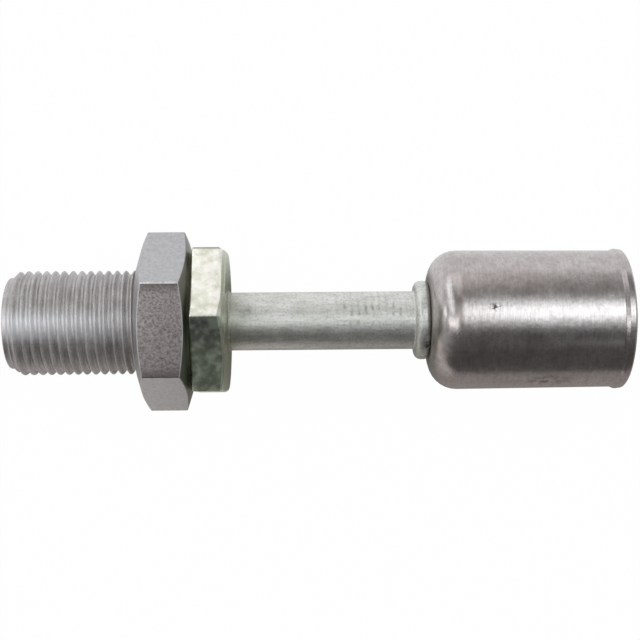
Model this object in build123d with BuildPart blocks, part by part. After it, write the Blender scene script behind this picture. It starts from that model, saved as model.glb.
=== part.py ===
from build123d import *
import math
import os

# Straight bulkhead crimp fitting for a refrigerant hose, in millimetres.
# The axis lies along X. The origin is on the axis, at the collar's seat against the bulkhead.
# The threaded port points to -X and the hose end to +X. +Z is up as the fitting lies at rest.

# Threaded port: 3/4-16 UNF, drawn at its major diameter
thread_diameter = 19.05
thread_length = 33.2
thread_lead_angle = 45.0
nose_step = 1.325
nose_length = 0.8
relief_depth = 1.125
relief_width = 2.4

# Inside of the port: a counterbore for the mating pilot, then the flow bore
port_wall = 1.8
port_depth = 9.0
port_mouth_chamfer = 0.8
port_floor_angle = 59.0

# Hexagonal collar, one piece with the thread. It lies on one corner, a little to one side
collar_wall = 3.175
collar_length = 6.0
collar_face_margin = 0.5
collar_chamfer_angle = 20.0
collar_corner_angle = 11.55

# Jam nut, run up against the collar and a little wider than it
nut_step = 1.4
nut_length = 9.95
nut_face_margin = 3.15
nut_chamfer_angle = 17.5
nut_mouth_chamfer = 0.7
nut_running_clearance = 0.05

# Tube, brazed into a socket in the collar
tube_diameter = 10.5
tube_wall = 1.25
tube_reach = 33.3
socket_depth = 9.0
braze_gap = 0.05
braze_fillet_size = 0.7

# Rolled beads that hold the ferrule on the tube
bead_width = 2.45
bead_height = 1.875
bead_corner = 0.95
bead_back_corner = 0.3
lock_bead_width = 2.4
lock_bead_height = 1.25
lock_bead_corner = 0.7

# Barbed hose stem, the last stretch of the tube
stem_setback = 1.6
stem_undercut = 0.25
barb_height = 0.65
barb_count = 5
barb_ramp = 2.6
barb_land = 0.6
first_barb_offset = 3.0
stem_tip_length = 1.6
stem_tip_edge = 0.15
stem_mouth_chamfer = 0.4

# Crimp ferrule, a drawn shell that turns freely between the two beads
hose_space = 4.98
ferrule_length = 35.35
ferrule_taper = 0.44
ferrule_wall = 2.0
ferrule_floor = 2.2
ferrule_shoulder = 5.0
ferrule_inner_corner = 1.6
ferrule_end_clearance = 0.1
ferrule_neck_clearance = 0.06
neck_chamfer = 0.3
lip_width = 2.3
lip_height = 0.27
lip_corner = 0.35
mouth_chamfer = 0.7

# Radii and widths that follow from the sizes above
thread_radius = thread_diameter / 2
nose_radius = thread_radius - nose_step
port_radius = nose_radius - port_wall
collar_flats = thread_diameter + 2 * collar_wall
collar_face_radius = collar_flats / 2 - collar_face_margin
nut_flats = collar_flats + 2 * nut_step
nut_face_radius = nut_flats / 2 - nut_face_margin
nut_bore_radius = thread_radius + nut_running_clearance
tube_radius = tube_diameter / 2
flow_radius = tube_radius - tube_wall
bead_radius = tube_radius + bead_height
lock_bead_radius = tube_radius + lock_bead_height
stem_root_radius = tube_radius - stem_undercut
barb_radius = stem_root_radius + barb_height
ferrule_bore_radius = barb_radius + hose_space
ferrule_radius = ferrule_bore_radius + ferrule_wall
mouth_radius = ferrule_radius - ferrule_taper / 2
neck_radius = tube_radius + ferrule_neck_clearance

# Stations along the axis
nose_end = nose_length - thread_length
port_floor = port_depth - thread_length
nut_end = -nut_length
collar_end = collar_length
socket_floor = collar_end - socket_depth
bead_start = collar_end + tube_reach
bead_end = bead_start + bead_width
ferrule_start = bead_end + ferrule_end_clearance
ferrule_floor_end = ferrule_start + ferrule_floor
ferrule_end = ferrule_start + ferrule_length
lip_start = ferrule_end - lip_width
lock_bead_start = ferrule_floor_end + ferrule_end_clearance
lock_bead_end = lock_bead_start + lock_bead_width
first_barb = lock_bead_end + first_barb_offset
stem_end = ferrule_end - stem_setback
stem_tip = stem_end - stem_tip_length
barb_pitch = (stem_tip - first_barb) / barb_count

# The nut's lowest corner, on the other side, touches the surface that the collar's corner lies on
collar_rest_height = collar_flats * math.cos(math.radians(collar_corner_angle))
nut_corner_angle = 60 - math.degrees(math.acos(collar_rest_height / nut_flats))

# Cutting profiles run this far past the faces that they open
overcut = 1.0


def slope(run, angle):
    """How far a cone of this angle rises over a run."""
    return run * math.tan(math.radians(angle))


def turn(points, mode=Mode.ADD):
    """Turns a closed outline of (station, radius) points about X, in the part being built."""
    with BuildSketch(Plane.XY) as section:
        with BuildLine():
            Polyline(*points, close=True)
        make_face()
    revolve(section.sketch, axis=Axis.X, mode=mode)


def hexagon(flats, corner_angle):
    """A hexagon across the axis whose first corner leans from +Z towards +Y by corner_angle."""
    RegularPolygon(flats / 2, 6, major_radius=False, rotation=90 - corner_angle)


os.makedirs("parts", exist_ok=True)

# Fitting body: thread, collar and port, turned from hexagon bar
with BuildPart() as fitting_body:
    with BuildSketch(Plane.YZ):
        hexagon(collar_flats, collar_corner_angle)
    extrude(amount=collar_length)
    collar_cone = slope(collar_flats - collar_face_radius, collar_chamfer_angle)
    turn([
        (0, 0),
        (collar_end, 0),
        (collar_end, collar_face_radius),
        (collar_end - collar_cone, collar_flats),
        (0, collar_flats),
    ], mode=Mode.INTERSECT)
    turn([
        (-thread_length, 0),
        (-thread_length, nose_radius),
        (nose_end, nose_radius),
        (nose_end + slope(nose_step, 90 - thread_lead_angle), thread_radius),
        (-relief_width - relief_depth, thread_radius),
        (-relief_width, thread_radius - relief_depth),
        (0, thread_radius - relief_depth),
        (0, 0),
    ])
    turn([
        (-thread_length - overcut, 0),
        (-thread_length - overcut, port_radius + port_mouth_chamfer + overcut),
        (-thread_length + port_mouth_chamfer, port_radius),
        (port_floor, port_radius),
        (port_floor + slope(port_radius - flow_radius, 90 - port_floor_angle), flow_radius),
        (socket_floor, flow_radius),
        (socket_floor, tube_radius + braze_gap),
        (collar_end + overcut, tube_radius + braze_gap),
        (collar_end + overcut, 0),
    ], mode=Mode.SUBTRACT)

# Jam nut: hexagon chamfered on both faces
with BuildPart() as jam_nut:
    with BuildSketch(Plane.YZ.offset(nut_end)):
        hexagon(nut_flats, nut_corner_angle)
    extrude(amount=nut_length)
    nut_cone = slope(nut_flats / 2 + nut_face_margin - nut_face_radius, nut_chamfer_angle)
    turn([
        (nut_end, 0),
        (nut_end, nut_face_radius),
        (nut_end + nut_cone, nut_flats / 2 + nut_face_margin),
        (-nut_cone, nut_flats / 2 + nut_face_margin),
        (0, nut_face_radius),
        (0, 0),
    ], mode=Mode.INTERSECT)
    turn([
        (nut_end - overcut, 0),
        (nut_end - overcut, nut_bore_radius + nut_mouth_chamfer + overcut),
        (nut_end + nut_mouth_chamfer, nut_bore_radius),
        (-nut_mouth_chamfer, nut_bore_radius),
        (overcut, nut_bore_radius + nut_mouth_chamfer + overcut),
        (overcut, 0),
    ], mode=Mode.SUBTRACT)

# Stem tube: plain tube, rolled bead, locking bead and barbed hose stem
with BuildPart() as stem_tube:
    turn([
        (socket_floor, 0),
        (socket_floor, tube_radius),
        (lock_bead_end, tube_radius),
        (lock_bead_end, stem_root_radius),
        (stem_tip, stem_root_radius),
        (stem_end, flow_radius + stem_mouth_chamfer + stem_tip_edge),
        (stem_end, 0),
    ])
    with BuildSketch(Plane.XY) as bead:
        with BuildLine():
            Polyline(
                (bead_start, 0),
                (bead_start, bead_radius),
                (bead_end - bead_back_corner, bead_radius),
                (bead_end, bead_radius - bead_back_corner),
                (bead_end, 0),
                close=True,
            )
        make_face()
        fillet(bead.vertices().group_by(Axis.X)[0].sort_by(Axis.Y)[-1], bead_corner)
    revolve(axis=Axis.X)
    turn([
        (lock_bead_start, 0),
        (lock_bead_start, lock_bead_radius - neck_chamfer),
        (lock_bead_start + neck_chamfer, lock_bead_radius),
        (lock_bead_end - lock_bead_corner, lock_bead_radius),
        (lock_bead_end, lock_bead_radius - lock_bead_corner),
        (lock_bead_end, 0),
    ])
    for barb in range(barb_count):
        barb_start = first_barb + barb * barb_pitch
        turn([
            (barb_start, 0),
            (barb_start, barb_radius),
            (barb_start + barb_land, barb_radius),
            (barb_start + barb_land + barb_ramp, stem_root_radius),
            (barb_start + barb_land + barb_ramp, 0),
        ])
    turn([
        (socket_floor - overcut, 0),
        (socket_floor - overcut, flow_radius),
        (stem_end - stem_mouth_chamfer, flow_radius),
        (stem_end + overcut, flow_radius + stem_mouth_chamfer + overcut),
        (stem_end + overcut, 0),
    ], mode=Mode.SUBTRACT)

# Braze fillet: the ring of filler where the tube leaves the collar
with BuildPart() as braze_fillet:
    turn([
        (collar_end, tube_radius),
        (collar_end, tube_radius + braze_fillet_size),
        (collar_end + braze_fillet_size, tube_radius),
    ])

# Ferrule: a drawn shell with a rounded shoulder, a slight taper and a flared lip at its mouth
with BuildPart() as ferrule:
    with BuildSketch(Plane.XY) as shell:
        with BuildLine():
            Polyline(
                (ferrule_start, 0),
                (ferrule_start, ferrule_radius),
                (lip_start, mouth_radius),
                (ferrule_end - lip_corner, mouth_radius + lip_height),
                (ferrule_end, mouth_radius + lip_height - lip_corner),
                (ferrule_end, 0),
                close=True,
            )
        make_face()
        fillet(shell.vertices().group_by(Axis.X)[0].sort_by(Axis.Y)[-1], ferrule_shoulder)
    revolve(axis=Axis.X)
    turn([
        (ferrule_floor_end, 0),
        (ferrule_floor_end, ferrule_bore_radius - ferrule_inner_corner),
        (ferrule_floor_end + ferrule_inner_corner, ferrule_bore_radius),
        (ferrule_end - mouth_chamfer, ferrule_bore_radius),
        (ferrule_end + overcut, ferrule_bore_radius + mouth_chamfer + overcut),
        (ferrule_end + overcut, 0),
    ], mode=Mode.SUBTRACT)
    turn([
        (ferrule_start - overcut, 0),
        (ferrule_start - overcut, neck_radius + neck_chamfer + overcut),
        (ferrule_start + neck_chamfer, neck_radius),
        (ferrule_floor_end - neck_chamfer, neck_radius),
        (ferrule_floor_end + overcut, neck_radius + neck_chamfer + overcut),
        (ferrule_floor_end + overcut, 0),
    ], mode=Mode.SUBTRACT)

fitting_body.part.label = "fitting_body"
export_step(fitting_body.part, "parts/fitting_body.step")
jam_nut.part.label = "jam_nut"
export_step(jam_nut.part, "parts/jam_nut.step")
stem_tube.part.label = "stem_tube"
export_step(stem_tube.part, "parts/stem_tube.step")
braze_fillet.part.label = "braze_fillet"
export_step(braze_fillet.part, "parts/braze_fillet.step")
ferrule.part.label = "ferrule"
export_step(ferrule.part, "parts/ferrule.step")
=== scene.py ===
import math

import bmesh
import bpy
from mathutils import Matrix, Vector


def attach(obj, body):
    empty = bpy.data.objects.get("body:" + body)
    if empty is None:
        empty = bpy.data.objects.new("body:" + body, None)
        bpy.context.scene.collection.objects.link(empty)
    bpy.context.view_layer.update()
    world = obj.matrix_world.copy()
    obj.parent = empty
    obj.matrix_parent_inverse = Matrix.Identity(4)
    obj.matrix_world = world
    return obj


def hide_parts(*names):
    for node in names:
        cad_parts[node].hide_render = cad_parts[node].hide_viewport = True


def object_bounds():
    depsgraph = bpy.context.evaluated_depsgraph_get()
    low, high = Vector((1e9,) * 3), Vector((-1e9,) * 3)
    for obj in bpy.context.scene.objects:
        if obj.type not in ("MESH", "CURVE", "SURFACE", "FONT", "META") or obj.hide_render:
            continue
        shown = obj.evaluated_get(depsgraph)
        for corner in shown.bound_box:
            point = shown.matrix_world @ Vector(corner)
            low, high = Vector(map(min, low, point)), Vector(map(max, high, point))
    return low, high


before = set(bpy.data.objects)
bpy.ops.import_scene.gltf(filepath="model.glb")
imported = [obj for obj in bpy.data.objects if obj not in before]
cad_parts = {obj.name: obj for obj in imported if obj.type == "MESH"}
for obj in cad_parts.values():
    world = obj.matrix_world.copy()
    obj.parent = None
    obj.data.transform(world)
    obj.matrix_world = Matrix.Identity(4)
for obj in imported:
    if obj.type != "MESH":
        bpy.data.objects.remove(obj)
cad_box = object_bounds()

# A straight bulkhead crimp fitting for a refrigerant hose, lying on a white table.
# The axis is X, from the threaded port at -X to the hose end at +X. Sizes are in millimetres here,
# and the meshes are in metres.
MM = 0.001

# Port thread, 3/4-16 UNF
PITCH = 25.4 / 16
THREAD_RADIUS = 9.4
THREAD_DEPTH = 0.72
CREST_STATION = -21.5
ROWS_PER_TURN = 16
NOSE_STATION = -33.2
NOSE_RADIUS = 8.2
NOSE_LENGTH = 0.8
RELIEF_RADIUS = 8.4
RELIEF_WIDTH = 2.4

# Port, flow bore and the tube's socket
PORT_RADIUS = 6.4
PORT_DEPTH = 9.0
PORT_FLOOR_RUN = 1.442
PORT_CHAMFER = 0.8
FLOW_RADIUS = 4.0
SOCKET_RADIUS = 5.3
SOCKET_FLOOR = -3.0

# Hexagonal collar and jam nut
COLLAR_APOTHEM = 12.7
COLLAR_CORNER = 11.55
COLLAR_LENGTH = 6.0
COLLAR_FACE_RADIUS = 12.2
COLLAR_FACE_SLOPE = math.tan(math.radians(20.0))
COLLAR_ROUNDING = 0.22
COLLAR_BREAK_START = 0.42
COLLAR_BREAK_END = 0.06
COLLAR_BREAK_DEPTH = 0.28
COLLAR_SKIN_START = -0.05
COLLAR_SKIN_RADIUS = 5.4
NUT_APOTHEM = 14.1
NUT_CORNER = 31.94
NUT_LENGTH = 9.95
NUT_FACE_RADIUS = 10.95
NUT_FACE_SLOPE = math.tan(math.radians(17.5))
NUT_ROUNDING = 0.25
NUT_BORE_RADIUS = 8.72
NUT_THREAD_RADIUS = 9.6
NUT_MOUTH_RADIUS = 10.275

# Tube, beads and barbed stem
TUBE_RADIUS = 5.25
BEAD = (39.6, 42.17, 7.125)
LOCK_BEAD = (44.15, 46.55, 6.5)
STEM_RADIUS = 5.0
BARB_RADIUS = 5.65
BARB_COUNT = 5
BARB_START = 49.55
BARB_PITCH = 4.89
BARB_LAND = 0.6
BARB_RAMP = 2.6
STEM_TIP = 74.0
STEM_END = 75.6
BRAZE_SIZE = 0.7

# Crimp ferrule
FERRULE = (42.2, 77.2)
FERRULE_FLOOR = 44.05
FERRULE_RADIUS = 12.63
FERRULE_MOUTH_RADIUS = 12.41
FERRULE_BORE = 10.63
FERRULE_NECK = 5.31
FERRULE_SHOULDER = 5.0
LIP_START = 75.25
LIP_RADIUS = 12.74

# Meshes: the distance that welds points, the shortest edge, the degrees from which an edge is sharp, and
# the columns round the turned pieces
WELD = 0.002
SLIVER = 0.0001
CREASE = 38.0
TUBE_COLUMNS = 144
FERRULE_COLUMNS = 192


def linear(code):
    """Linear colour of an sRGB hex code."""
    parts = [int(code[i:i + 2], 16) / 255 for i in (1, 3, 5)]
    return [c / 12.92 if c <= 0.04045 else ((c + 0.055) / 1.055) ** 2.4 for c in parts] + [1.0]


def add(tree, kind, inputs=None, **settings):
    """Adds a node with its settings. An input is a value, or the socket that feeds it."""
    made = tree.nodes.new(kind)
    for key, value in settings.items():
        setattr(made, key, value)
    for key, value in (inputs or {}).items():
        if isinstance(value, bpy.types.NodeSocket):
            tree.links.new(value, made.inputs[key])
        else:
            made.inputs[key].default_value = value
    return made


def new_material(name):
    """An empty material with its output node, and its node tree."""
    material = bpy.data.materials.new(name)
    material.use_nodes = True
    material.node_tree.nodes.clear()
    return material, material.node_tree


def finish_metal(tree, colour, roughness, normal, metallic=1.0):
    """Ends a metal's tree in its shader. Where it has grime, or a pale patch that lightens a groove, it is
    less metallic.
    """
    shader = add(tree, "ShaderNodeBsdfPrincipled", {
        "Base Color": colour, "Metallic": metallic, "Roughness": roughness, "Normal": normal})
    add(tree, "ShaderNodeOutputMaterial", {"Surface": shader.outputs["BSDF"]})


def object_point(tree):
    """The shaded point in its piece's own coordinates, in metres."""
    return add(tree, "ShaderNodeTexCoord").outputs["Object"]


def axes(tree, where):
    """The X, Y and Z of a point."""
    return add(tree, "ShaderNodeSeparateXYZ", {"Vector": where}).outputs


def stretched(tree, where, scale):
    """A point for a noise that is drawn out along the axes with a small scale."""
    return add(tree, "ShaderNodeMapping", {"Vector": where, "Scale": scale}).outputs["Vector"]


def maths(tree, operation, *values):
    """The result of a maths node. Each value is a number or a socket."""
    return add(tree, "ShaderNodeMath", dict(enumerate(values)), operation=operation).outputs["Value"]


def vector_maths(tree, operation, *values, result="Vector"):
    """The result of a vector maths node. Each value is a vector or a socket."""
    return add(tree, "ShaderNodeVectorMath", dict(enumerate(values)), operation=operation).outputs[result]


def mixed(tree, share, first, second):
    """Colour that goes from the first to the second with the share. Each is a socket or a hex code."""
    colours = {key: value if isinstance(value, bpy.types.NodeSocket) else linear(value)
               for key, value in ((6, first), (7, second))}
    return add(tree, "ShaderNodeMix", {0: share, **colours}, data_type="RGBA").outputs[2]


def ranged(tree, value, low, high, to_low=0.0, to_high=1.0, **settings):
    """A value taken from one range to another, and held at its ends."""
    return add(tree, "ShaderNodeMapRange", {
        "Value": value, "From Min": low, "From Max": high, "To Min": to_low, "To Max": to_high},
        **settings).outputs["Result"]


def spanned(tree, distance, low, high, to_low=0.0, to_high=1.0, **settings):
    """As ranged, for a distance and a range of it in millimetres."""
    return ranged(tree, distance, low * MM, high * MM, to_low, to_high, **settings)


def times(tree, first, second):
    """The product of two values."""
    return maths(tree, "MULTIPLY", first, second)


def noise(tree, where, size, detail=3.0, rough=0.6):
    """Noise whose patches are about that many millimetres across."""
    return add(tree, "ShaderNodeTexNoise", {
        "Vector": where, "Scale": 1 / (size * MM), "Detail": detail, "Roughness": rough}).outputs["Fac"]


def bumped(tree, height, depth, normal=None, invert=False):
    """A normal raised by a height of up to that many millimetres, on top of another one."""
    inputs = {"Height": height, "Distance": depth * MM, "Strength": 1.0}
    if normal is not None:
        inputs["Normal"] = normal
    return add(tree, "ShaderNodeBump", inputs, invert=invert).outputs["Normal"]


def on_axis(station, radius, angle):
    """The point at a station along the axis, in metres. The angle is from +Z towards +Y, in degrees."""
    a = math.radians(angle)
    return Vector((station, radius * math.sin(a), radius * math.cos(a))) * MM


def smudge(tree, where, centre, reach, size):
    """Share of grime in a ragged patch about a centre. All lengths are in millimetres: its reach along
    and across the axis, and the size of the patches that it breaks up into."""
    along, across = reach
    apart = vector_maths(tree, "SUBTRACT", where, centre * MM)
    scaled = vector_maths(tree, "MULTIPLY", apart, Vector((1 / along, 1 / across, 1 / across)) / MM)
    near = ranged(tree, vector_maths(tree, "LENGTH", scaled, result="Value"), 1.0, 0.3)
    return times(tree, near, ranged(tree, noise(tree, where, size, 2.0), 0.46, 0.56))


def off_axis(tree, where):
    """The distance from the axis, in metres."""
    across = vector_maths(tree, "MULTIPLY", where, (0.0, 1.0, 1.0))
    return vector_maths(tree, "LENGTH", across, result="Value")


def machined_thread():
    """Cut thread with a clear zinc plate: dull grey, with the tool's lines round it, painted shade at its
    roots, and a painted highlight: a pale, smoother band along the side that faces up at rest, most at
    the port's end."""
    material, tree = new_material("zinc_plated_cut_thread")
    where = object_point(tree)
    lines = noise(tree, stretched(tree, where, (1.0, 0.06, 0.06)), 0.32, 3.0, 0.7)
    grain = noise(tree, where, 0.3, 3.0, 0.7)
    cloud = noise(tree, where, 2.6, 4.0)
    # Painted shade: darker towards the thread's roots
    root = spanned(tree, off_axis(tree, where), 8.6, 9.1, 0.12, 0.0)
    tone = mixed(tree, ranged(tree, cloud, 0.3, 0.7), "#c9c5c3", "#e4e1e0")
    lined = mixed(tree, ranged(tree, lines, 0.46, 0.72, 0.0, 0.7), tone, "#989492")
    specked = mixed(tree, ranged(tree, grain, 0.3, 0.52, 0.55, 0.0), lined, "#8f8b89")
    # Painted highlight: a pale, smoother band on the side that faces up, strongest towards the port's end
    point = axes(tree, where)
    upward = spanned(tree, point["Z"], 0.0, 2.0)
    band = times(tree, spanned(tree, point["Y"], 4.2, 1.6), spanned(tree, point["Y"], -2.6, -1.4))
    painted_highlight = times(tree, times(tree, band, upward), spanned(tree, point["X"], -8.0, -29.0, 0.2, 1.0))
    pale_highlit = mixed(tree, times(tree, painted_highlight, 0.7), specked, "#fafafd")
    smoother = ranged(tree, painted_highlight, 0.0, 1.0, 1.0, 0.82)
    rough = times(tree, ranged(tree, cloud, 0.3, 0.7, 0.5, 0.6), smoother)
    normal = bumped(tree, lines, 0.03, bumped(tree, grain, 0.03))
    finish_metal(tree, mixed(tree, root, pale_highlit, "#6a6563"), rough, normal)
    return material


def plated_nut():
    """Nut cut from hexagon bar, zinc plated: satin grey. The chamfer by the collar has painted shade and a
    painted olive reflection of the collar, with a pale, less metallic patch deep in the groove.
    """
    material, tree = new_material("clear_zinc_plated_bar")
    where = object_point(tree)
    grain = noise(tree, where, 0.6, 4.0, 0.7)
    cloud = noise(tree, where, 3.0, 4.0)
    tone = mixed(tree, cloud, "#c0bfc1", "#d0cfd1")
    specked = mixed(tree, ranged(tree, grain, 0.34, 0.58, 0.38, 0.0), tone, "#938d8d")
    # The chamfer is where the station, in millimetres, is level with the cone that cuts it
    past_corners = 17.0
    cone = spanned(tree, off_axis(tree, where), NUT_FACE_RADIUS, past_corners,
                   0.0, (past_corners - NUT_FACE_RADIUS) * NUT_FACE_SLOPE)
    station = maths(tree, "DIVIDE", axes(tree, where)["X"], MM)
    chamfer = ranged(tree, maths(tree, "ADD", station, cone), -0.12, -0.03)
    # Painted shade and a painted olive reflection of the collar on the chamfer, and a pale, less metallic
    # patch near the bore that lightens the groove
    painted_chamfer_shade = mixed(tree, times(tree, chamfer, 0.85), specked, "#6b6c5c")
    pale_groove_patch = times(tree, chamfer, spanned(tree, off_axis(tree, where), 13.0, 11.6))
    rough = ranged(tree, cloud, 0.3, 0.7, 0.42, 0.48)
    metal = ranged(tree, pale_groove_patch, 0.0, 1.0, 1.0, 0.1)
    finish_metal(tree, mixed(tree, pale_groove_patch, painted_chamfer_shade, "#9b9c86"), rough, bumped(tree, grain, 0.02), metal)
    return material


def pitted_flat():
    """The nut's flat that faces the camera at rest: pitted and a little brown, with painted shade towards -Y
    and along its corners.
    """
    material, tree = new_material("pitted_zinc_plate")
    where = object_point(tree)
    pits = noise(tree, where, 0.45, 4.0, 0.75)
    cloud = noise(tree, where, 3.0, 4.0)
    middle = math.radians(NUT_CORNER - 30.0)
    sideways = (0.0, math.cos(middle), -math.sin(middle))
    across = vector_maths(tree, "DOT_PRODUCT", where, sideways, result="Value")
    from_middle = maths(tree, "ABSOLUTE", across)
    tone = mixed(tree, cloud, "#a9a2a0", "#bab3b1")
    # Painted shade: darker towards -Y across the flat
    tone = mixed(tree, spanned(tree, across, 2.0, -8.0, 0.0, 0.45), tone, "#948a89")
    pitted = mixed(tree, ranged(tree, pits, 0.36, 0.6, 0.95, 0.0), tone, "#776e6d")
    # Painted shade along the flat's corners
    shaded_at_corners = mixed(tree, spanned(tree, from_middle, 6.2, 7.9, 0.0, 0.65), pitted, "#5a5151")
    finish_metal(tree, shaded_at_corners, ranged(tree, cloud, 0.3, 0.7, 0.44, 0.5), bumped(tree, pits, 0.03))
    return material


def worn_highlit_edge():
    """Corners of the nut, paler and duller than its flats: wear, and a painted highlight along the edges."""
    material, tree = new_material("zinc_plate_worn_and_highlit_at_corners")
    where = object_point(tree)
    grain = noise(tree, where, 0.6, 3.0)
    # Paler tone: wear, and a painted highlight along the corners
    tone = mixed(tree, ranged(tree, grain, 0.35, 0.6), "#c9c6c6", "#efeded")
    finish_metal(tree, tone, ranged(tree, grain, 0.3, 0.7, 0.5, 0.6), bumped(tree, grain, 0.01))
    return material


def passivated_zinc():
    """Zinc plate with a yellow-green passivation: pale on the side of +Y, with painted shade along the edge
    at its far corner, and blotched with green on the other, where it is greener and painted lighter towards
    -Y.
    The chamfer by the tube is painted a plainer, darker olive as shade, with a dark spot by the braze."""
    material, tree = new_material("yellow_green_passivated_zinc")
    where = object_point(tree)
    blotch = noise(tree, where, 1.7, 2.0, 0.5)
    cloud = noise(tree, where, 2.4, 5.0, 0.65)
    grain = noise(tree, where, 0.4, 3.0)
    point = axes(tree, where)
    along, across = point["X"], point["Y"]
    pale = mixed(tree, ranged(tree, cloud, 0.36, 0.58), "#d9dac8", "#fefdf5")
    # Painted shade along the edge at the far +Y corner
    pale = mixed(tree, spanned(tree, across, 13.5, 13.75, 0.0, 0.8), pale, "#85887c")
    # Painted light: the green side is lighter towards -Y, as well as greener
    lower = spanned(tree, across, 1.0, -6.0)
    green_painted_lighter = mixed(tree, lower, "#a3aca4", "#cedcc5")
    green = mixed(tree, ranged(tree, blotch, 0.42, 0.62, 0.0, 0.8), green_painted_lighter, "#e8f5dd")
    flats = mixed(tree, spanned(tree, across, 3.4, 2.4), pale, green)
    # Painted shade: the chamfer by the tube is a plainer, darker olive
    tone = mixed(tree, spanned(tree, along, 5.2, 5.5), flats, "#b4b8a4")
    by_braze = smudge(tree, where, Vector((6.0, 5.6, 4.5)), (1.0, 1.5), 1.2)
    marked = mixed(tree, by_braze, tone, "#4c4d45")
    rough = ranged(tree, blotch, 0.3, 0.7, 0.24, ranged(tree, lower, 0.0, 1.0, 0.36, 0.5))
    normal = bumped(tree, blotch, 0.04, bumped(tree, grain, 0.02))
    finish_metal(tree, marked, rough, normal)
    return material


def plated_tube():
    """Drawn tube with a pale zinc plate: satin, with faint marks of the clamp that held it while it was
    beaded, in two rows of ticks, some dirt by the collar, and painted shade on the bead's lower side by the
    ferrule."""
    material, tree = new_material("zinc_plated_drawn_tube")
    where = object_point(tree)
    cloud = noise(tree, where, 3.2, 5.0, 0.65)
    grain = noise(tree, where, 0.4, 2.0, 0.6)
    drawn = noise(tree, stretched(tree, where, (0.12, 1.0, 1.0)), 0.45, 3.0, 0.6)
    point = axes(tree, where)
    # Blender's wave has 20 radians for each unit of its vector
    tick_spacing = 1.25 * MM
    ticks = add(tree, "ShaderNodeTexWave", {
        "Vector": where, "Scale": 2 * math.pi / (20 * tick_spacing), "Distortion": 2.4, "Detail": 2.0,
        "Detail Scale": 1.2}, bands_direction="X").outputs["Fac"]
    begin = spanned(tree, point["X"], 24.0, 28.0, interpolation_type="SMOOTHSTEP")
    end = spanned(tree, point["X"], 38.9, 36.0, interpolation_type="SMOOTHSTEP")
    across = point["Y"]
    upper = times(tree, spanned(tree, across, 1.3, 2.0), spanned(tree, across, 2.9, 3.8, 1.0, 0.3))
    lower = times(tree, spanned(tree, across, 0.8, 0.5), spanned(tree, across, -0.7, -0.2, 0.0, 0.7))
    rows = maths(tree, "ADD", upper, lower)
    patchy = times(tree, rows, ranged(tree, noise(tree, where, 1.9, 1.0), 0.38, 0.6, 0.1, 1.0))
    marks = times(tree, times(tree, begin, end), times(tree, patchy, ranged(tree, ticks, 0.35, 1.0)))
    tone = mixed(tree, ranged(tree, cloud, 0.35, 0.65), "#dfdfd8", "#f0efec")
    streaked = mixed(tree, ranged(tree, drawn, 0.3, 0.6, 0.42, 0.0), tone, "#b0b2aa")
    specked = mixed(tree, ranged(tree, grain, 0.3, 0.5, 0.45, 0.0), streaked, "#a2a49d")
    by_collar = smudge(tree, where, on_axis(9.5, TUBE_RADIUS, 32.4) / MM, (0.8, 1.2), 3.0)
    # Painted shade on the bead's lower side, by the ferrule
    painted_shade_on_bead = smudge(tree, where, on_axis(41.9, 7.0, -36.0) / MM, (1.3, 4.5), 1.6)
    dirt_and_shade = mixed(tree, painted_shade_on_bead, mixed(tree, by_collar, specked, "#9b9c97"), "#62655c")
    rough = ranged(tree, cloud, 0.3, 0.7, 0.44, 0.52)
    normal = bumped(tree, marks, 0.04, bumped(tree, grain, 0.03), invert=True)
    finish_metal(tree, mixed(tree, times(tree, marks, 0.75), dirt_and_shade, "#8d918a"), rough, normal)
    return material


def plated_braze():
    """Braze filler under zinc plate: a little uneven and duller than the tube."""
    material, tree = new_material("zinc_plated_braze")
    where = object_point(tree)
    grain = noise(tree, where, 0.5, 3.0)
    tone = mixed(tree, ranged(tree, grain, 0.35, 0.65), "#9b9c90", "#bcbdb1")
    finish_metal(tree, tone, ranged(tree, grain, 0.3, 0.7, 0.42, 0.52), bumped(tree, grain, 0.05))
    return material


def drawn_steel():
    """Bright drawn steel shell: a mirror of the room, blurred by the slight orange peel that drawing
    leaves, with fine lines round it, a scuff, a stain, and grime on the end that is against the bead."""
    material, tree = new_material("bright_drawn_steel")
    where = object_point(tree)
    peel = noise(tree, where, 1.2, 2.0, 0.5)
    lines = noise(tree, stretched(tree, where, (1.0, 0.15, 0.15)), 0.35, 3.0, 0.7)
    cloud = noise(tree, where, 4.0, 5.0)
    tone = mixed(tree, ranged(tree, cloud, 0.35, 0.65), "#c1b9b7", "#d1cbc9")
    tone = mixed(tree, ranged(tree, lines, 0.4, 0.65, 0.0, 0.3), tone, "#8f8886")
    mottle = ranged(tree, noise(tree, where, 0.9, 3.0, 0.65), 0.36, 0.54, 0.28, 0.0)
    mottled = mixed(tree, mottle, tone, "#8f8886")
    scuff = smudge(tree, where, on_axis(52.6, 12.6, 17.5) / MM, (1.4, 0.9), 0.8)
    stain = smudge(tree, where, on_axis(63.0, 12.5, -53.0) / MM, (5.0, 2.2), 1.3)
    marked = mixed(tree, stain, mixed(tree, scuff, mottled, "#4a4644"), "#858280")
    by_bead = times(tree, spanned(tree, off_axis(tree, where), 8.9, 7.7),
                    spanned(tree, axes(tree, where)["X"], 43.2, 42.6))
    duller = ranged(tree, by_bead, 0.0, 1.0, 1.0, 2.2)
    rough = times(tree, ranged(tree, cloud, 0.3, 0.7, 0.23, 0.29), duller)
    metal = ranged(tree, by_bead, 0.0, 1.0, 1.0, 0.15)
    finish_metal(tree, mixed(tree, by_bead, marked, "#8e8783"), rough, bumped(tree, peel, 0.022), metal)
    return material


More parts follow.
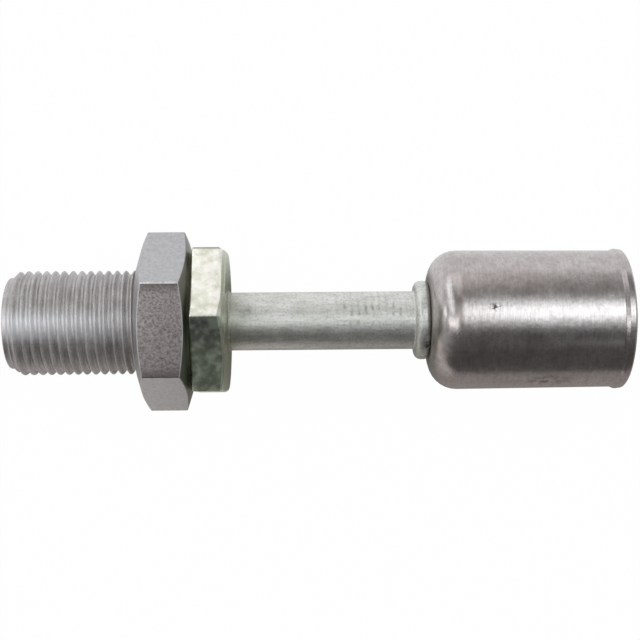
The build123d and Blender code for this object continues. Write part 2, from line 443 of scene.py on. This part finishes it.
def rounded(outline, loop=True, steps=4):
    """Points of an outline of (station, radius, corner rounding) corners, with the corners made into arcs."""
    points = []
    for i, (x, r, rounding) in enumerate(outline):
        at_end = not loop and i in (0, len(outline) - 1)
        if rounding == 0 or at_end:
            points.append((x, r))
            continue
        corner = Vector((x, r))
        before = (Vector(outline[i - 1][:2]) - corner).normalized()
        after = (Vector(outline[(i + 1) % len(outline)][:2]) - corner).normalized()
        half = before.angle(after) / 2
        centre = corner + (before + after).normalized() * rounding / math.sin(half)
        first = corner + before * rounding / math.tan(half) - centre
        last = corner + after * rounding / math.tan(half) - centre
        start = math.atan2(first.y, first.x)
        turn = math.remainder(math.atan2(last.y, last.x) - start, 2 * math.pi)
        for step in range(steps + 1):
            angle = start + turn * step / steps
            points.append((centre.x + rounding * math.cos(angle), centre.y + rounding * math.sin(angle)))
    return points


def hexagon_radius(apothem, angle_from_corner, rounding):
    """Distance from the axis to a hexagon's side, with its corners rounded."""
    off = abs((angle_from_corner + 30.0) % 60.0 - 30.0)
    reach = (apothem - rounding) / math.cos(math.radians(30.0))
    tangent = 30.0 - math.degrees(math.atan(reach / 2 / apothem))
    if off >= tangent:
        return apothem / math.cos(math.radians(30.0 - off))
    off = math.radians(off)
    return reach * math.cos(off) + math.sqrt(rounding ** 2 - (reach * math.sin(off)) ** 2)


def hexagon_columns(corner_angle):
    """Angles round the axis from +Z towards +Y, closer together at a hexagon's corners."""
    half = [0.0, 0.2, 0.4, 0.6, 1.4, 3.0, 5.0, 7.5, 10.5, 13.75, 17.0, 20.25, 23.5, 26.75, 30.0]
    sector = half + [60.0 - a for a in reversed(half[1:-1])]
    return [corner_angle + 60.0 * side + a for side in range(6) for a in sector]


def even_columns(count):
    """Angles round the axis, evenly spaced."""
    return [360.0 * i / count for i in range(count)]


def turned_shell(profile_at, columns, loop=True):
    """A bmesh of profiles set round the axis, one for each column's angle. A loop closes the profile on
    itself."""
    shell = bmesh.new()
    rings = [[shell.verts.new(on_axis(x, r, angle)) for x, r in profile_at(angle)] for angle in columns]
    length = len(rings[0])
    for left, right in zip(rings, rings[1:] + rings[:1]):
        for i in range(length if loop else length - 1):
            j = (i + 1) % length
            shell.faces.new((left[i], left[j], right[j], right[i]))
    return shell


def finished(name, shell, materials, body, node):
    """Closes a piece's mesh, shades it and puts it in the scene on its body, in its CAD node's place."""
    bmesh.ops.remove_doubles(shell, verts=shell.verts, dist=WELD * MM)
    bmesh.ops.dissolve_degenerate(shell, dist=SLIVER * MM, edges=shell.edges)
    bmesh.ops.recalc_face_normals(shell, faces=shell.faces)
    if shell.calc_volume(signed=True) < 0:
        bmesh.ops.reverse_faces(shell, faces=shell.faces)
    for face in shell.faces:
        face.smooth = True
    for edge in shell.edges:
        edge.smooth = edge.calc_face_angle(0.0) < math.radians(CREASE)
    mesh = bpy.data.meshes.new(name)
    shell.to_mesh(mesh)
    shell.free()
    for material in materials:
        mesh.materials.append(material)
    piece = bpy.data.objects.new(name, mesh)
    bpy.context.scene.collection.objects.link(piece)
    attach(piece, body)
    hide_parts(node)
    return piece


def thread_tree():
    """Geometry Nodes that wrap a flat blank round the axis as a right-hand screw thread. The blank's X is
    the station, and its Y the angle in radians."""
    tree = bpy.data.node_groups.new("right_hand_thread", "GeometryNodeTree")
    tree.is_modifier = True
    tree.interface.new_socket("Geometry", in_out="INPUT", socket_type="NodeSocketGeometry")
    for name in ("Pitch", "Crest Station", "Crest Radius", "Root Radius", "Start", "Start Radius", "End",
                 "End Radius", "Lead Slope"):
        tree.interface.new_socket(name, in_out="INPUT", socket_type="NodeSocketFloat")
    tree.interface.new_socket("Material", in_out="INPUT", socket_type="NodeSocketMaterial")
    tree.interface.new_socket("Geometry", in_out="OUTPUT", socket_type="NodeSocketGeometry")
    given = add(tree, "NodeGroupInput").outputs

    def calc(operation, *values):
        return maths(tree, operation, *values)

    # Station of each point, after the angle's share of the pitch, held between the thread's ends
    blank = axes(tree, add(tree, "GeometryNodeInputPosition").outputs["Position"])
    angle = blank["Y"]
    advance = calc("MULTIPLY", calc("DIVIDE", angle, 2 * math.pi), given["Pitch"])
    after_start = calc("MAXIMUM", calc("SUBTRACT", blank["X"], advance), given["Start"])
    station = calc("MINIMUM", after_start, given["End"])

    # Radius of each point, from its distance to the nearest crest: 0 at the crest and 1 between two. The
    # last tenth is the flat of the root.
    past_crest = calc("SUBTRACT", calc("ADD", station, advance), given["Crest Station"])
    turns = calc("DIVIDE", past_crest, given["Pitch"])
    from_crest = calc("MULTIPLY", calc("ABSOLUTE", calc("SUBTRACT", turns, calc("ROUND", turns))), 2.0)
    fall = add(tree, "ShaderNodeMapRange", {
        "Value": from_crest, "From Min": 0.0, "From Max": 0.9, "To Min": given["Crest Radius"],
        "To Max": given["Root Radius"]}, interpolation_type="SMOOTHSTEP").outputs["Result"]

    # Cones at both ends limit the radius: from the outside for a male thread, from the inside for a nut
    past_start = calc("SUBTRACT", station, given["Start"])
    before_end = calc("SUBTRACT", given["End"], station)
    lead = calc("MULTIPLY_ADD", past_start, given["Lead Slope"], given["Start Radius"])
    run_out = calc("MULTIPLY_ADD", before_end, given["Lead Slope"], given["End Radius"])
    outside = calc("MINIMUM", fall, calc("MINIMUM", lead, run_out))
    inside = calc("MAXIMUM", fall, calc("MAXIMUM", lead, run_out))
    in_nut = calc("LESS_THAN", given["Lead Slope"], 0.0)
    radius = add(tree, "GeometryNodeSwitch", {
        0: in_nut, 1: outside, 2: inside}, input_type="FLOAT").outputs[0]

    place = add(tree, "ShaderNodeCombineXYZ", {
        "X": station, "Y": calc("MULTIPLY", radius, calc("SINE", angle)),
        "Z": calc("MULTIPLY", radius, calc("COSINE", angle))})
    wrapped = add(tree, "GeometryNodeSetPosition", {
        "Geometry": given["Geometry"], "Position": place.outputs["Vector"]})
    welded = add(tree, "GeometryNodeMergeByDistance", {
        "Geometry": wrapped.outputs["Geometry"], "Distance": WELD * MM})
    real = add(tree, "GeometryNodeRealizeInstances", {"Geometry": welded.outputs["Geometry"]})
    coated = add(tree, "GeometryNodeSetMaterial", {
        "Geometry": real.outputs["Geometry"], "Material": given["Material"]})
    add(tree, "NodeGroupOutput", {"Geometry": coated.outputs["Geometry"]})
    return tree


def cut_thread(tree, columns, sizes, material):
    """The mesh of a thread that the tree wraps from a flat blank. Sizes are the tree's inputs, in
    millimetres apart from the slope."""
    turn = columns + [columns[0] + 360.0]
    row = PITCH / ROWS_PER_TURN
    lowest = sizes["Start"] + PITCH * turn[0] / 360.0
    highest = sizes["End"] + PITCH * turn[-1] / 360.0
    first = math.floor((lowest - CREST_STATION) / row) - 1
    last = math.ceil((highest - CREST_STATION) / row) + 1
    blank = bmesh.new()
    lines = [[blank.verts.new((MM * (CREST_STATION + i * row), math.radians(a), 0.0)) for a in turn]
             for i in range(first, last + 1)]
    for low, high in zip(lines, lines[1:]):
        for j in range(len(turn) - 1):
            blank.faces.new((low[j], high[j], high[j + 1], low[j + 1]))
    mesh = bpy.data.meshes.new("thread_blank")
    blank.to_mesh(mesh)
    blank.free()
    holder = bpy.data.objects.new("thread_blank", mesh)
    bpy.context.scene.collection.objects.link(holder)
    wrap = holder.modifiers.new("thread", "NODES")
    wrap.node_group = tree
    inputs = {item.name: item.identifier for item in tree.interface.items_tree
              if item.item_type == "SOCKET" and item.in_out == "INPUT"}
    for name, value in sizes.items():
        wrap[inputs[name]] = value if name == "Lead Slope" else value * MM
    wrap[inputs["Material"]] = material
    bpy.context.view_layer.update()
    wrapped = holder.evaluated_get(bpy.context.evaluated_depsgraph_get())
    green_painted_lighter = bpy.data.meshes.new_from_object(wrapped)
    bpy.data.objects.remove(holder)
    return green_painted_lighter


def with_thread(shell, thread):
    """Adds a thread's mesh to an open shell, which it closes."""
    shell.from_mesh(thread)
    bpy.data.meshes.remove(thread)
    return shell


cut = machined_thread()
steel = plated_nut()
pale_highlit = worn_highlit_edge()
pitted = pitted_flat()
green = passivated_zinc()
tube_zinc = plated_tube()
braze_zinc = plated_braze()
bright = drawn_steel()
threads = thread_tree()

# Fitting body: its outline is open at the thread's ends, and the thread's mesh closes it. The passivation
# is on the collar's outside alone.
body_columns = hexagon_columns(COLLAR_CORNER)
thread_start = NOSE_STATION + NOSE_LENGTH
thread_end = -RELIEF_WIDTH


def body_profile(angle):
    """Outline of the body from the thread's relief, over the collar and through the bores, to the nose."""
    side = hexagon_radius(COLLAR_APOTHEM, angle - COLLAR_CORNER, COLLAR_ROUNDING)
    chamfer_x = COLLAR_LENGTH - (side - COLLAR_FACE_RADIUS) * COLLAR_FACE_SLOPE
    return rounded([
        (thread_end, RELIEF_RADIUS, 0),
        (0.0, RELIEF_RADIUS, 0.25),
        (0.0, side, 0.35),
        (chamfer_x - COLLAR_BREAK_START, side, 0.15),
        (chamfer_x + COLLAR_BREAK_END, side - COLLAR_BREAK_DEPTH, 0.15),
        (COLLAR_LENGTH, COLLAR_FACE_RADIUS, 0.2),
        (COLLAR_LENGTH, SOCKET_RADIUS, 0.1),
        (SOCKET_FLOOR, SOCKET_RADIUS, 0),
        (SOCKET_FLOOR, FLOW_RADIUS, 0.1),
        (NOSE_STATION + PORT_DEPTH + PORT_FLOOR_RUN, FLOW_RADIUS, 0.1),
        (NOSE_STATION + PORT_DEPTH, PORT_RADIUS, 0.1),
        (NOSE_STATION + PORT_CHAMFER, PORT_RADIUS, 0.1),
        (NOSE_STATION, PORT_RADIUS + PORT_CHAMFER, 0.1),
        (NOSE_STATION, NOSE_RADIUS, 0.3),
        (thread_start, NOSE_RADIUS, 0),
    ], loop=False)


body_shell = with_thread(turned_shell(body_profile, body_columns, loop=False), cut_thread(
    threads, body_columns, {
        "Pitch": PITCH, "Crest Station": CREST_STATION, "Crest Radius": THREAD_RADIUS,
        "Root Radius": THREAD_RADIUS - THREAD_DEPTH, "Start": thread_start, "Start Radius": NOSE_RADIUS,
        "End": thread_end, "End Radius": RELIEF_RADIUS, "Lead Slope": 1.0}, cut))
body_metals = [cut, green]
port = finished("threaded_port_and_collar", body_shell, body_metals, "fitting", "fitting_body")
for face in port.data.polygons:
    outside = face.center.yz.length > COLLAR_SKIN_RADIUS * MM
    on_collar = outside and face.center.x > COLLAR_SKIN_START * MM
    face.material_index = body_metals.index(green if on_collar else cut)

# Jam nut: its thread closes the outline too. Three of its corners are worn and painted paler as a highlight,
# and one flat is pitted and carries painted shade.
nut_columns = hexagon_columns(NUT_CORNER)


def nut_profile(angle):
    """Outline of the nut's outside, from one mouth of its thread to the other."""
    side = hexagon_radius(NUT_APOTHEM, angle - NUT_CORNER, NUT_ROUNDING)
    drop = (side - NUT_FACE_RADIUS) * NUT_FACE_SLOPE
    return rounded([
        (-NUT_LENGTH, NUT_MOUTH_RADIUS, 0),
        (-NUT_LENGTH, NUT_FACE_RADIUS, 0.3),
        (drop - NUT_LENGTH, side, 0.25),
        (-drop, side, 0.25),
        (0.0, NUT_FACE_RADIUS, 0.3),
        (0.0, NUT_MOUTH_RADIUS, 0),
    ], loop=False)


nut_shell = with_thread(turned_shell(nut_profile, nut_columns, loop=False), cut_thread(
    threads, nut_columns, {
        "Pitch": PITCH, "Crest Station": CREST_STATION, "Crest Radius": NUT_THREAD_RADIUS,
        "Root Radius": NUT_BORE_RADIUS, "Start": -NUT_LENGTH, "Start Radius": NUT_MOUTH_RADIUS,
        "End": 0.0, "End Radius": NUT_MOUTH_RADIUS, "Lead Slope": -1.0}, cut))
nut_metals = [steel, cut, pale_highlit, pitted]
nut = finished("threaded_jam_nut", nut_shell, nut_metals, "nut", "jam_nut")
for face in nut.data.polygons:
    turned_by = math.degrees(math.atan2(face.center.y, face.center.z)) - NUT_CORNER
    along = abs(face.normal.x)
    if face.center.yz.length < NUT_MOUTH_RADIUS * MM:
        face.material_index = nut_metals.index(cut)
    elif abs((turned_by + 60.0) % 120.0 - 60.0) < 0.5 and along < 0.3:
        face.material_index = nut_metals.index(pale_highlit)
    elif -60.0 < turned_by < 0.0 and along < 0.1:
        face.material_index = nut_metals.index(pitted)


# Tube with its beads and barbed stem
def stem_profile(_angle):
    """Outline of the tube, the same at each angle."""
    start, end, top = BEAD
    lock_start, lock_end, lock_top = LOCK_BEAD
    corners = [
        (SOCKET_FLOOR, FLOW_RADIUS, 0.1),
        (SOCKET_FLOOR, TUBE_RADIUS, 0.15),
        (start, TUBE_RADIUS, 0.35),
        (start, top, 1.15),
        (end, top, 0.85),
        (end, TUBE_RADIUS, 0.05),
        (lock_start, TUBE_RADIUS, 0.05),
        (lock_start, lock_top, 0.3),
        (lock_end, lock_top, 0.7),
        (lock_end, STEM_RADIUS, 0.2),
    ]
    for barb in range(BARB_COUNT):
        x = BARB_START + barb * BARB_PITCH
        corners += [
            (x, STEM_RADIUS, 0.1),
            (x, BARB_RADIUS, 0.1),
            (x + BARB_LAND, BARB_RADIUS, 0.15),
            (x + BARB_LAND + BARB_RAMP, STEM_RADIUS, 0.3),
        ]
    corners += [
        (STEM_TIP, STEM_RADIUS, 0.3),
        (STEM_END, 4.55, 0.06),
        (STEM_END, 4.4, 0.05),
        (STEM_END - 0.4, FLOW_RADIUS, 0.1),
    ]
    return rounded(corners)


finished("beaded_tube_and_barbed_stem", turned_shell(stem_profile, even_columns(TUBE_COLUMNS)), [tube_zinc],
         "fitting", "stem_tube")


# Ring of braze filler
def braze_profile(angle):
    """Outline of the filler's hollow fillet, whose size waves a little round the tube."""
    a = math.radians(angle)
    size = BRAZE_SIZE * (1.0 - 0.08 * (1 + math.sin(3 * a + 1.0)) - 0.05 * (1 + math.sin(7 * a + 0.4)))
    inner = TUBE_RADIUS - 0.03
    arc = [(COLLAR_LENGTH + size - size * math.sin(t), TUBE_RADIUS + size - size * math.cos(t))
           for t in [math.pi / 2 * i / 6 for i in range(7)]]
    return [(COLLAR_LENGTH, inner), (COLLAR_LENGTH + size, inner)] + arc


finished("braze_ring", turned_shell(braze_profile, even_columns(TUBE_COLUMNS)), [braze_zinc],
         "fitting", "braze_fillet")


# Crimp ferrule
def ferrule_profile(_angle):
    """Outline of the ferrule, the same at each angle."""
    start, end = FERRULE
    return rounded([
        (start, FERRULE_NECK + 0.3, 0.1),
        (start, FERRULE_RADIUS, FERRULE_SHOULDER),
        (LIP_START, FERRULE_MOUTH_RADIUS, 0.9),
        (end - 1.25, LIP_RADIUS, 0.5),
        (end - 0.25, LIP_RADIUS - 0.12, 0.3),
        (end, LIP_RADIUS - 0.45, 0.15),
        (end, FERRULE_BORE + 0.7, 0.2),
        (end - 0.7, FERRULE_BORE, 0.3),
        (FERRULE_FLOOR, FERRULE_BORE, 2.2),
        (FERRULE_FLOOR, FERRULE_NECK + 0.3, 0.1),
        (FERRULE_FLOOR - 0.3, FERRULE_NECK, 0.1),
        (start + 0.3, FERRULE_NECK, 0.1),
    ], steps=8)


finished("crimp_ferrule_shell", turned_shell(ferrule_profile, even_columns(FERRULE_COLUMNS)), [bright],
         "ferrule", "ferrule")

# Table: the fitting lies on it with the middle of the nut's lowest side and with the ferrule's lip
TABLE_REACH = 3.0
NUT_TOUCH_STATION = -5.0
RIM_TOUCH_STATION = 76.85
nut_touch = Vector((NUT_TOUCH_STATION, 0.0, cad_box[0].z / MM))
rim_touch = Vector((RIM_TOUCH_STATION, 0.0, -LIP_RADIUS))
table_slope = math.atan2(rim_touch.z - nut_touch.z, rim_touch.x - nut_touch.x)


def wide_plane(name, lift, material):
    """A plane of 6 m by 6 m, that many millimetres above the table top."""
    forward = Vector((math.cos(table_slope), 0.0, math.sin(table_slope))) * TABLE_REACH
    sideways = Vector((0.0, TABLE_REACH, 0.0))
    middle = (nut_touch + Vector((0.0, 0.0, lift))) * MM
    corners = [middle + forward * i + sideways * j for i, j in ((-1, -1), (1, -1), (1, 1), (-1, 1))]
    mesh = bpy.data.meshes.new(name)
    mesh.from_pydata(corners, [], [(0, 1, 2, 3)])
    mesh.materials.append(material)
    plane = bpy.data.objects.new(name, mesh)
    bpy.context.scene.collection.objects.link(plane)
    return plane


# White paint, which the camera sees as an even white by its glow
WHITE_GLOW_SHARE = 0.985
white, tree = new_material("white_table")
path = add(tree, "ShaderNodeLightPath").outputs
seen = maths(tree, "MAXIMUM", path["Is Camera Ray"], path["Is Glossy Ray"])
seen = maths(tree, "MAXIMUM", seen, path["Is Transmission Ray"])
paint = add(tree, "ShaderNodeBsdfDiffuse", {"Color": linear("#fafafa")})
glow = add(tree, "ShaderNodeEmission", {"Color": linear("#ffffff"), "Strength": 1.0})
both = add(tree, "ShaderNodeMixShader", {
    0: times(tree, seen, WHITE_GLOW_SHARE), 1: paint.outputs["BSDF"], 2: glow.outputs["Emission"]})
add(tree, "ShaderNodeOutputMaterial", {"Surface": both.outputs["Shader"]})
wide_plane("table", 0.0, white)

# Bench card: a painted reflection that metal mirrors in place of the table, as the real fitting mirrors a
#  duller bench. It partly glows: light behind the fitting, darker in front of it, with painted shade under
#      it.
#  Nothing else sees it.
CARD_GLOW_SHARE = 0.6
card, tree = new_material("bench_card")
point = axes(tree, object_point(tree))
front = mixed(tree, spanned(tree, point["X"], -12, 30), "#ded9d5", "#a7a29f")
# Painted shade under the fitting
painted_shade_under = mixed(tree, spanned(tree, point["Y"], -24, -12), front, "#84857d")
tone = mixed(tree, spanned(tree, point["Y"], 5, 12), painted_shade_under, "#fafafc")
matte = add(tree, "ShaderNodeBsdfDiffuse", {"Color": tone})
# The card's painted glow
painted_glow = add(tree, "ShaderNodeEmission", {"Color": tone, "Strength": 1.15})
both = add(tree, "ShaderNodeMixShader", {
    0: CARD_GLOW_SHARE, 1: matte.outputs["BSDF"], 2: painted_glow.outputs["Emission"]})
add(tree, "ShaderNodeOutputMaterial", {"Surface": both.outputs["Shader"]})
bench = wide_plane("bench_card", 0.3, card)
bench.visible_camera = False
bench.visible_diffuse = False
bench.visible_transmission = False
bench.visible_shadow = False

# Room: darker in front, lighter behind and at both ends, with a pale backdrop low down behind the
# threaded end
world = bpy.data.worlds.new("room")
bpy.context.scene.world = world
world.use_nodes = True
tree = world.node_tree
tree.nodes.clear()
facing = axes(tree, add(tree, "ShaderNodeTexCoord").outputs["Generated"])
level = add(tree, "ShaderNodeValToRGB", {"Fac": ranged(tree, facing["Y"], -1.0, 1.0)})
ramp = level.color_ramp
ramp.elements[0].position, ramp.elements[0].color = 0.0, (0.09, 0.087, 0.086, 1.0)
ramp.elements[1].position, ramp.elements[1].color = 1.0, (0.62, 0.61, 0.61, 1.0)
for position, value in ((0.42, 0.08), (0.5, 0.2), (0.55, 0.24), (0.85, 0.2), (0.95, 0.3)):
    element = ramp.elements.new(position)
    element.color = (value, value * 0.98, value * 0.97, 1.0)
low_behind = ranged(tree, facing["Y"], 0.78, 0.9, 0.0, 0.6)
backdrop = times(tree, ranged(tree, facing["X"], 0.1, -0.02), low_behind)
ends = ranged(tree, maths(tree, "ABSOLUTE", facing["X"]), 0.5, 1.0, 0.0, 0.35)
total = vector_maths(tree, "ADD", level.outputs["Color"], maths(tree, "ADD", backdrop, ends))
sky = add(tree, "ShaderNodeBackground", {"Color": total, "Strength": 1.0})
add(tree, "ShaderNodeOutputWorld", {"Surface": sky.outputs["Background"]})

# Camera, above the table and leaning towards +Y. Its angles are in degrees. The offset is where it sees
# the origin, in its own axes, and the focal length is in pixels of an image of that width.
LEAN, YAW, ROLL = 7.6, 1.14, 0.47
FOCAL_LENGTH, IMAGE_WIDTH = 1228.6, 640
SENSOR_WIDTH = 36.0
turned = (Matrix.Rotation(math.radians(ROLL), 3, "Z") @ Matrix.Rotation(math.radians(YAW), 3, "Y")
          @ Matrix.Rotation(math.radians(LEAN), 3, "X"))
offset = Vector((-22.58, -0.34, -222.8)) * MM
lens = bpy.data.cameras.new("camera")
lens.sensor_width = SENSOR_WIDTH
lens.lens = SENSOR_WIDTH * FOCAL_LENGTH / IMAGE_WIDTH
lens.clip_start = 0.01
camera = bpy.data.objects.new("camera", lens)
bpy.context.scene.collection.objects.link(camera)
camera.matrix_world = Matrix.Translation(turned.transposed() @ -offset) @ turned.transposed().to_4x4()
bpy.context.scene.camera = camera


# Lights
COOL, NEUTRAL, WARM = (0.9, 0.97, 1.0), (0.97, 0.98, 1.0), (1.0, 0.98, 0.96)


def panel(name, angle, distance, x, length, width, radiance, tilt=0.0, colour=COOL):
    """A soft panel along X that faces the fitting's axis, centred at station x, in millimetres. Its length
    and width are in metres. The angle is from the camera's side of the axis towards +Y, and the tilt turns
    it to face along the axis."""
    light = bpy.data.lights.new(name, "AREA")
    light.shape = "RECTANGLE"
    light.size, light.size_y = length, width
    light.energy = radiance * math.pi * length * width
    light.color = colour
    holder = bpy.data.objects.new(name, light)
    bpy.context.scene.collection.objects.link(holder)
    away = on_axis(0.0, distance, LEAN + angle)
    holder.matrix_world = (Matrix.Translation(Vector((x * MM, 0.0, 0.0)) + away)
                           @ Matrix.Rotation(math.radians(-LEAN - angle), 4, "X")
                           @ Matrix.Rotation(math.radians(tilt), 4, "Y"))
    holder.visible_camera = False


# The ferrule's long highlight: a bright core inside two wider, dimmer panels
panel("right_softbox", 12.0, 450, 272, 0.42, 0.15, 1.2)
panel("right_diffuser", 12.5, 460, 272, 0.42, 0.28, 0.8)
panel("right_scrim", 13.0, 470, 272, 0.42, 0.46, 0.4)
# The faint band low on the ferrule, by its mouth
panel("front_card", -39.4, 450, 210, 0.12, 0.07, 0.26)
# Light along the tube and on the ferrule's shoulder
panel("middle_diffuser", 12.0, 455, -23, 0.17, 0.2, 0.45, colour=WARM)
panel("middle_window", 45.0, 400, -20, 0.15, 0.17, 0.2, colour=WARM)
# The bright band on the thread, and the streaks on the ferrule's shoulder
panel("left_window", 47.0, 350, -282, 0.2, 0.52, 1.4)
panel("left_diffuser", -6.0, 400, -285, 0.46, 0.13, 2.0, colour=NEUTRAL)
panel("left_lamp", 27.0, 300, -780, 0.2, 0.17, 2.4, tilt=-69.0)

bpy.context.scene.view_settings.view_transform = "Standard"
